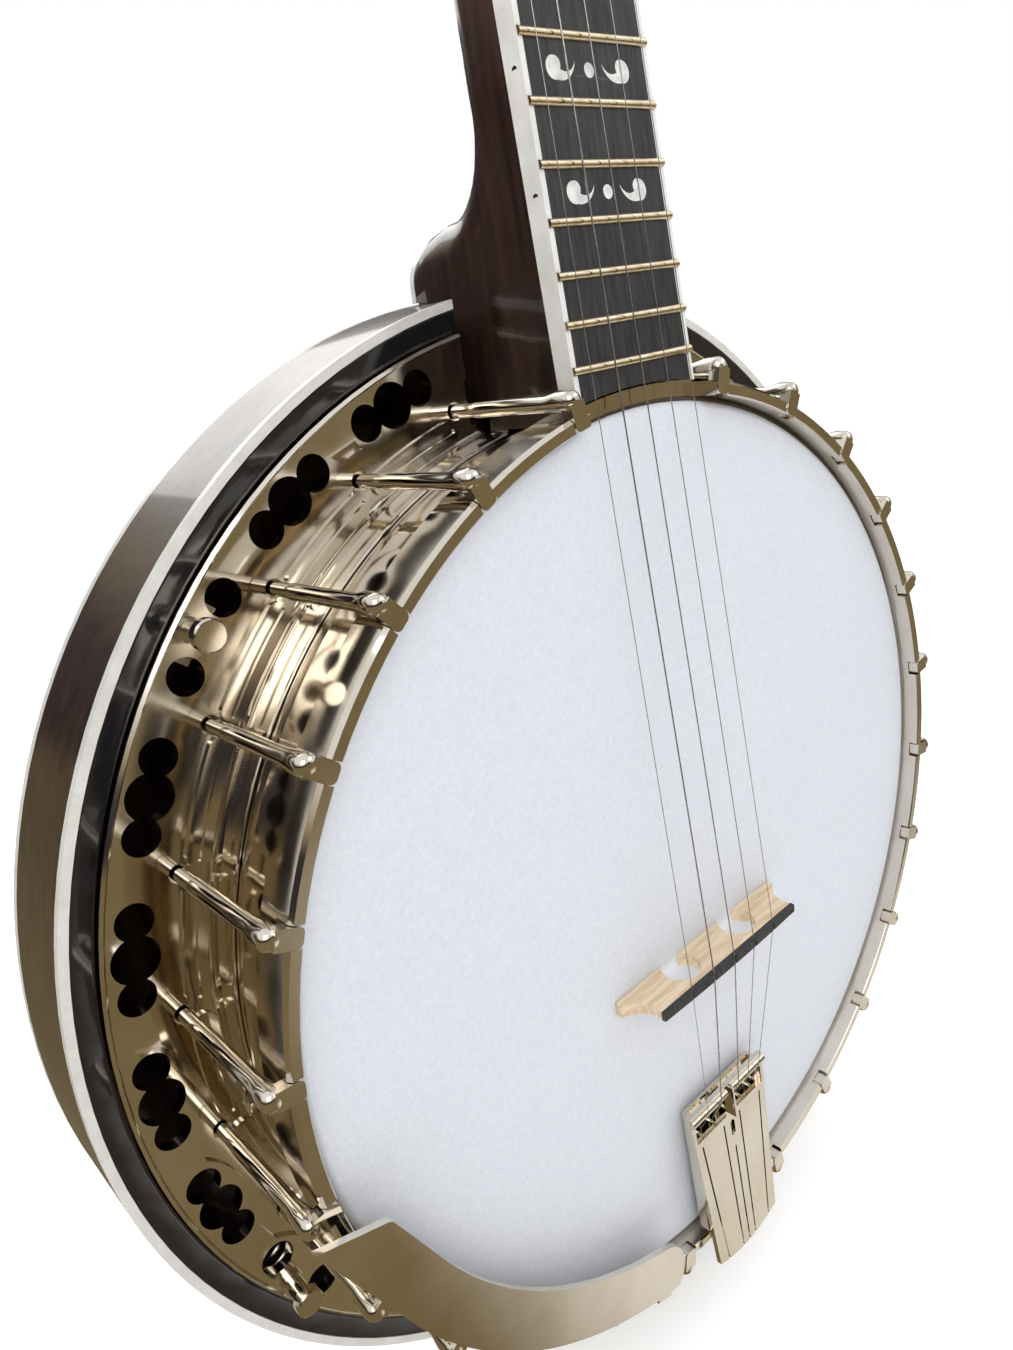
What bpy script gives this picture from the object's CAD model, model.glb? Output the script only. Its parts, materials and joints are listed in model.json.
import json
from math import pi, radians

import bmesh
import bpy
from mathutils import Matrix, Vector

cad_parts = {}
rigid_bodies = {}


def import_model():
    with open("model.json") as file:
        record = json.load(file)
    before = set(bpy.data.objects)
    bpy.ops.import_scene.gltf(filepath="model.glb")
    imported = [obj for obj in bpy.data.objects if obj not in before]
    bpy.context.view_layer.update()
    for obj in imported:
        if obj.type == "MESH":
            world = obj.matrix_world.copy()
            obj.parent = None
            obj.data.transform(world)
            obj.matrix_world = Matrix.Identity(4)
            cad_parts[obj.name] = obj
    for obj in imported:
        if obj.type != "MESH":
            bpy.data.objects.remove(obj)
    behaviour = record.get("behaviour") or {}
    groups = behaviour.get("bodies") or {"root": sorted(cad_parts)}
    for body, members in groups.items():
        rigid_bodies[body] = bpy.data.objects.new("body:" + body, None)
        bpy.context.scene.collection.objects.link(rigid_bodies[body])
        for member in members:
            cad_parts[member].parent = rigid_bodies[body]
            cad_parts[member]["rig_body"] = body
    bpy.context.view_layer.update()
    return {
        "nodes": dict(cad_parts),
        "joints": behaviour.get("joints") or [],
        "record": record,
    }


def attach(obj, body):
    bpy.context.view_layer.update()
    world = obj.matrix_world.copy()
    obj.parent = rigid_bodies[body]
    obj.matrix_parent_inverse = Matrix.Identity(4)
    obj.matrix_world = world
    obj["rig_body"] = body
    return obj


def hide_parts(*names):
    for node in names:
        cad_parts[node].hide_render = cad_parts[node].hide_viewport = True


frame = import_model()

scene = bpy.context.scene
MM = 0.001
COLOUR_A, COLOUR_B, MIXED = 6, 7, 2  # a Mix node's colour sockets


# ---------------------------------------------------------------- camera
def place_camera():
    """The viewpoint: low and to the left of the pot, looking up to the neck's foot."""
    data = bpy.data.cameras.new("camera")
    data.sensor_fit = "VERTICAL"
    data.sensor_height = 36.0
    data.lens = 25.66
    data.clip_start = 0.005
    right = Vector((0.730819, -0.665270, -0.152708))
    up = Vector((0.330596, 0.149259, 0.931895))
    back = Vector((-0.597169, -0.731531, 0.329017))
    turn = Matrix((right, up, back)).transposed().to_4x4()
    camera = bpy.data.objects.new("camera", data)
    camera.matrix_world = Matrix.Translation((-0.20843, -0.237355, 0.346504)) @ turn
    scene.collection.objects.link(camera)
    scene.camera = camera


place_camera()


# ---------------------------------------------------------------- shared effects
def new_group(name, inputs, outputs):
    group = bpy.data.node_groups.new(name, "ShaderNodeTree")
    for label, kind, value in inputs:
        socket = group.interface.new_socket(label, in_out="INPUT", socket_type=kind)
        if value is not None:
            socket.default_value = value
    for label, kind in outputs:
        group.interface.new_socket(label, in_out="OUTPUT", socket_type=kind)
    return group, group.nodes.new("NodeGroupInput"), group.nodes.new("NodeGroupOutput")


def noise(tree, scale, detail=4.0, rough=0.55):
    node = tree.nodes.new("ShaderNodeTexNoise")
    node.inputs["Scale"].default_value = scale
    node.inputs["Detail"].default_value = detail
    node.inputs["Roughness"].default_value = rough
    return node


def handled_group():
    """Faint smears and dust: a roughness between Low and High."""
    group, start, end = new_group(
        "handled",
        [("Vector", "NodeSocketVector", None), ("Scale", "NodeSocketFloat", 40.0),
         ("Low", "NodeSocketFloat", 0.1), ("High", "NodeSocketFloat", 0.2)],
        [("Roughness", "NodeSocketFloat")],
    )
    cloud = noise(group, 40.0)
    group.links.new(start.outputs["Vector"], cloud.inputs["Vector"])
    group.links.new(start.outputs["Scale"], cloud.inputs["Scale"])
    spread = group.nodes.new("ShaderNodeMapRange")
    spread.inputs["From Min"].default_value = 0.35
    spread.inputs["From Max"].default_value = 0.65
    group.links.new(cloud.outputs["Fac"], spread.inputs["Value"])
    group.links.new(start.outputs["Low"], spread.inputs["To Min"])
    group.links.new(start.outputs["High"], spread.inputs["To Max"])
    group.links.new(spread.outputs["Result"], end.inputs["Roughness"])
    return group


def mottled_group():
    """Two colours mixed by a noise, and the noise itself as a height."""
    group, start, end = new_group(
        "mottled",
        [("Vector", "NodeSocketVector", None), ("Scale", "NodeSocketFloat", 200.0),
         ("Dark", "NodeSocketColor", None), ("Light", "NodeSocketColor", None)],
        [("Color", "NodeSocketColor"), ("Height", "NodeSocketFloat")],
    )
    cloud = noise(group, 200.0, 6.0, 0.6)
    group.links.new(start.outputs["Vector"], cloud.inputs["Vector"])
    group.links.new(start.outputs["Scale"], cloud.inputs["Scale"])
    spread = group.nodes.new("ShaderNodeMapRange")
    spread.inputs["From Min"].default_value = 0.36
    spread.inputs["From Max"].default_value = 0.64
    group.links.new(cloud.outputs["Fac"], spread.inputs["Value"])
    mix = group.nodes.new("ShaderNodeMix")
    mix.data_type = "RGBA"
    group.links.new(spread.outputs["Result"], mix.inputs["Factor"])
    group.links.new(start.outputs["Dark"], mix.inputs[COLOUR_A])
    group.links.new(start.outputs["Light"], mix.inputs[COLOUR_B])
    group.links.new(mix.outputs[MIXED], end.inputs["Color"])
    group.links.new(spread.outputs["Result"], end.inputs["Height"])
    return group


HANDLED = handled_group()
MOTTLED = mottled_group()


# ---------------------------------------------------------------- finishes
def finish_material(name, dark, light, low, high, metallic=0.0, coat=0.0, stretch=(1, 1, 1),
                    scale=200.0, smear=30.0, bump=0.0, depth=0.0001):
    """A material whose colour runs from dark to light and whose roughness runs from low to high."""
    material = bpy.data.materials.new(name)
    material.use_nodes = True
    tree = material.node_tree
    shader = tree.nodes["Principled BSDF"]
    shader.inputs["Metallic"].default_value = metallic
    shader.inputs["Coat Weight"].default_value = coat
    shader.inputs["Coat Roughness"].default_value = 0.06
    place = tree.nodes.new("ShaderNodeTexCoord")
    mapping = tree.nodes.new("ShaderNodeMapping")
    mapping.inputs["Scale"].default_value = stretch
    tree.links.new(place.outputs["Object"], mapping.inputs["Vector"])
    colour = tree.nodes.new("ShaderNodeGroup")
    colour.node_tree = MOTTLED
    colour.inputs["Scale"].default_value = scale
    colour.inputs["Dark"].default_value = (*dark, 1)
    colour.inputs["Light"].default_value = (*light, 1)
    tree.links.new(mapping.outputs["Vector"], colour.inputs["Vector"])
    tree.links.new(colour.outputs["Color"], shader.inputs["Base Color"])
    handled = tree.nodes.new("ShaderNodeGroup")
    handled.node_tree = HANDLED
    handled.inputs["Scale"].default_value = smear
    handled.inputs["Low"].default_value = low
    handled.inputs["High"].default_value = high
    tree.links.new(place.outputs["Object"], handled.inputs["Vector"])
    tree.links.new(handled.outputs["Roughness"], shader.inputs["Roughness"])
    if bump:
        relief = tree.nodes.new("ShaderNodeBump")
        relief.inputs["Strength"].default_value = bump
        relief.inputs["Distance"].default_value = depth
        tree.links.new(colour.outputs["Height"], relief.inputs["Height"])
        tree.links.new(relief.outputs["Normal"], shader.inputs["Normal"])
    return material


ALONG_NECK = (1, 1, 0.06)
FINISHES = {
    "nickel": finish_material("nickel", (0.66, 0.60, 0.50), (0.80, 0.75, 0.67), 0.06, 0.16, 1.0, scale=25),
    "steel": finish_material("steel", (0.50, 0.49, 0.47), (0.66, 0.65, 0.63), 0.18, 0.32, 1.0, scale=400),
    "fret_wire": finish_material(
        "fret_wire", (0.62, 0.50, 0.33), (0.80, 0.70, 0.52), 0.12, 0.26, 1.0, scale=300
    ),
    "brass": finish_material("brass", (0.50, 0.36, 0.16), (0.66, 0.50, 0.26), 0.2, 0.35, 1.0, scale=300),
    "head_film": finish_material(
        "head_film", (0.66, 0.69, 0.75), (0.72, 0.745, 0.80), 0.5, 0.62, scale=900, bump=0.25, depth=0.00006
    ),
    "rim_wood": finish_material(
        "rim_wood", (0.33, 0.19, 0.09), (0.55, 0.36, 0.19), 0.35, 0.5, coat=0.2,
        stretch=(1, 8, 1), scale=90, bump=0.1
    ),
    "dark_wood": finish_material(
        "dark_wood", (0.012, 0.006, 0.005), (0.045, 0.020, 0.013), 0.22, 0.34, coat=0.7,
        stretch=ALONG_NECK, scale=260, bump=0.05
    ),
    "black_lacquer": finish_material(
        "black_lacquer", (0.006, 0.006, 0.009), (0.012, 0.012, 0.017), 0.08, 0.18, coat=0.8
    ),
    "ivory": finish_material("ivory", (0.72, 0.71, 0.67), (0.82, 0.81, 0.78), 0.2, 0.34, coat=0.3, scale=120),
    "ebony": finish_material(
        "ebony", (0.010, 0.010, 0.012), (0.035, 0.033, 0.034), 0.36, 0.52,
        stretch=ALONG_NECK, scale=900, bump=0.3, depth=0.00005
    ),
    "pearl": finish_material(
        "pearl", (0.55, 0.58, 0.57), (0.88, 0.86, 0.82), 0.12, 0.26, coat=0.6, scale=260
    ),
    "black": finish_material("black", (0.008, 0.008, 0.008), (0.02, 0.02, 0.02), 0.35, 0.5, scale=300),
    "bone": finish_material("bone", (0.70, 0.64, 0.50), (0.84, 0.79, 0.67), 0.32, 0.46, scale=350, bump=0.1),
    "maple": finish_material(
        "maple", (0.66, 0.48, 0.30), (0.84, 0.70, 0.50), 0.38, 0.5, stretch=(0.12, 1, 1), scale=500, bump=0.15
    ),
}


# ---------------------------------------------------------------- pieces from the frame
SLOT_OF = {row["node"]: row["material_slot"] for row in frame["record"]["subparts"]}
SOFT_EDGES = {  # nodes whose edges are eased, with the width in millimetres
    "headstock_overlay": 0.3, "truss_rod_cover": 0.4, "bridge": 0.3, "nut": 0.25, "heel_cap": 0.3,
    "tailpiece_base": 0.2, "armrest_clips": 0.15,
}
SMOOTH_BELOW = radians(32)
FLAT_WITHIN = radians(0.5)
MERGE_WITHIN = 0.002 * MM


def refined(node):
    """A merged, smooth-shaded copy of a CAD node with its finish, standing for that node."""
    source = frame["nodes"][node]
    mesh = source.data.copy()
    piece = bpy.data.objects.new(node + "_finished", mesh)
    scene.collection.objects.link(piece)
    shape = bmesh.new()
    shape.from_mesh(mesh)
    bmesh.ops.remove_doubles(shape, verts=shape.verts, dist=MERGE_WITHIN)
    bmesh.ops.dissolve_limit(shape, angle_limit=FLAT_WITHIN, verts=shape.verts, edges=shape.edges)
    shape.to_mesh(mesh)
    shape.free()
    mesh.shade_smooth()
    mesh.set_sharp_from_angle(angle=SMOOTH_BELOW)
    mesh.materials.clear()
    mesh.materials.append(FINISHES[SLOT_OF[node]])
    if node in SOFT_EDGES:
        ease = piece.modifiers.new("eased_edges", "BEVEL")
        ease.width = SOFT_EDGES[node] * MM
        ease.segments = 2
        ease.limit_method = "ANGLE"
        ease.angle_limit = radians(40)
        ease.harden_normals = True
    level = piece.modifiers.new("even_shading", "WEIGHTED_NORMAL")
    level.keep_sharp = True
    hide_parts(node)
    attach(piece, source["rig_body"])


for node in sorted(frame["nodes"]):
    refined(node)


# ---------------------------------------------------------------- string wound on the posts
WAIST_UP = 8.0 * MM  # above the headstock's face
POST_WAIST_R = 2.2 * MM
STRING_R = {"first": 0.125, "second": 0.15, "third": 0.205, "fourth": 0.255}
TURNS = 4
STEPS = 28
TURN_PITCH = 2.05  # of the string's radius, so the turns lie side by side
JOINTS = {joint["name"]: joint for joint in frame["joints"]}


def wound_string(name):
    """Close turns of a string on its post, made by spinning its round section up the post."""
    radius = STRING_R[name] * MM
    joint = JOINTS[f"{name}_post_turn"]
    axis = -Vector(joint["axis"]).normalized()
    across = Vector((1, 0, 0))
    middle = Vector(joint["pos_m"]) + axis * (WAIST_UP - TURNS * radius)
    shape = bmesh.new()
    facing = axis.cross(across)
    turn = Matrix((across, axis, facing)).transposed().to_4x4()
    place = Matrix.Translation(middle + across * (POST_WAIST_R + radius)) @ turn
    bmesh.ops.create_circle(shape, segments=8, radius=radius, matrix=place)
    bmesh.ops.spin(
        shape, geom=shape.edges[:], cent=middle, axis=axis, angle=2 * pi * TURNS,
        steps=STEPS * TURNS, dvec=axis * (TURN_PITCH * radius / STEPS),
    )
    bmesh.ops.holes_fill(shape, edges=[e for e in shape.edges if e.is_boundary], sides=0)
    bmesh.ops.recalc_face_normals(shape, faces=shape.faces)
    mesh = bpy.data.meshes.new(f"winding_{name}")
    shape.to_mesh(mesh)
    shape.free()
    mesh.shade_smooth()
    mesh.materials.append(FINISHES["steel"])
    piece = bpy.data.objects.new(f"winding_{name}", mesh)
    scene.collection.objects.link(piece)
    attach(piece, f"tuner_post_{name}")


for string in STRING_R:
    wound_string(string)


# ---------------------------------------------------------------- floor and light
FLOOR_HALF = 6.0


def build_stage():
    """A plain pale floor just under the resonator."""
    shape = bmesh.new()
    under = Matrix.Translation((0, 0, -1.0 * MM))
    bmesh.ops.create_grid(shape, x_segments=1, y_segments=1, size=FLOOR_HALF, matrix=under)
    mesh = bpy.data.meshes.new("floor")
    shape.to_mesh(mesh)
    shape.free()
    pale = bpy.data.materials.new("pale_floor")
    pale.use_nodes = True
    paint = pale.node_tree.nodes["Principled BSDF"].inputs
    paint["Base Color"].default_value = (0.86, 0.86, 0.86, 1)
    paint["Roughness"].default_value = 0.9
    paint["Emission Color"].default_value = (1, 1, 1, 1)
    paint["Emission Strength"].default_value = 0.45
    mesh.materials.append(pale)
    floor = bpy.data.objects.new("floor", mesh)
    scene.collection.objects.link(floor)
    floor.visible_glossy = False


def softbox(name, place, towards, size, power, colour):
    data = bpy.data.lights.new(name, "AREA")
    data.shape = "SQUARE"
    data.size = size
    data.energy = power
    data.color = colour
    lamp = bpy.data.objects.new(name, data)
    facing = (Vector(towards) - Vector(place)).to_track_quat("-Z", "Y")
    lamp.matrix_world = Matrix.Translation(place) @ facing.to_matrix().to_4x4()
    scene.collection.objects.link(lamp)


def light_room():
    """White above, dark at eye level, khaki below, a pale sheet low on the right; white to the camera."""
    world = bpy.data.worlds.new("room")
    scene.world = world
    world.use_nodes = True
    tree = world.node_tree
    tree.nodes.clear()
    place = tree.nodes.new("ShaderNodeTexCoord")
    split = tree.nodes.new("ShaderNodeSeparateXYZ")
    ramp = tree.nodes.new("ShaderNodeValToRGB")
    tones = ramp.color_ramp
    tones.elements[0].position, tones.elements[0].color = 0.0, (0.22, 0.17, 0.09, 1)
    tones.elements[1].position, tones.elements[1].color = 0.5, (0.92, 0.93, 0.96, 1)
    tones.elements.new(0.06).color = (0.03, 0.028, 0.035, 1)
    tones.elements.new(0.24).color = (0.045, 0.04, 0.045, 1)
    tones.elements.new(0.32).color = (0.42, 0.34, 0.22, 1)
    tree.links.new(place.outputs["Generated"], split.inputs["Vector"])
    tree.links.new(split.outputs["Z"], ramp.inputs["Fac"])
    sheet = tree.nodes.new("ShaderNodeMath")
    sheet.operation = "MULTIPLY"
    for axis, low, high, socket in (("X", 0.28, 0.42, 0), ("Z", -0.4, -0.6, 1)):
        share = tree.nodes.new("ShaderNodeMapRange")
        share.inputs["From Min"].default_value = low
        share.inputs["From Max"].default_value = high
        tree.links.new(split.outputs[axis], share.inputs["Value"])
        tree.links.new(share.outputs["Result"], sheet.inputs[socket])
    paler = tree.nodes.new("ShaderNodeMix")
    paler.data_type = "RGBA"
    paler.inputs[COLOUR_B].default_value = (0.86, 0.82, 0.74, 1)
    tree.links.new(sheet.outputs[0], paler.inputs["Factor"])
    tree.links.new(ramp.outputs["Color"], paler.inputs[COLOUR_A])
    around = tree.nodes.new("ShaderNodeBackground")
    tree.links.new(paler.outputs[MIXED], around.inputs["Color"])
    seen = tree.nodes.new("ShaderNodeBackground")
    seen.inputs["Color"].default_value = (1, 1, 1, 1)
    path = tree.nodes.new("ShaderNodeLightPath")
    mix = tree.nodes.new("ShaderNodeMixShader")
    end = tree.nodes.new("ShaderNodeOutputWorld")
    tree.links.new(path.outputs["Is Camera Ray"], mix.inputs[0])
    tree.links.new(around.outputs[0], mix.inputs[1])
    tree.links.new(seen.outputs[0], mix.inputs[2])
    tree.links.new(mix.outputs[0], end.inputs["Surface"])


build_stage()
light_room()
softbox("key", (-0.9, -1.3, 1.5), (0, 0, 0.3), 1.2, 10, (1, 0.98, 0.95))
softbox("fill", (1.2, -1.0, 1.0), (0, 0, 0.3), 1.4, 4.5, (0.94, 0.97, 1))
softbox("rim_light", (0.4, 1.4, 1.4), (0, 0, 0.4), 1.2, 7, (1, 1, 1))
scene.view_settings.view_transform = "Standard"
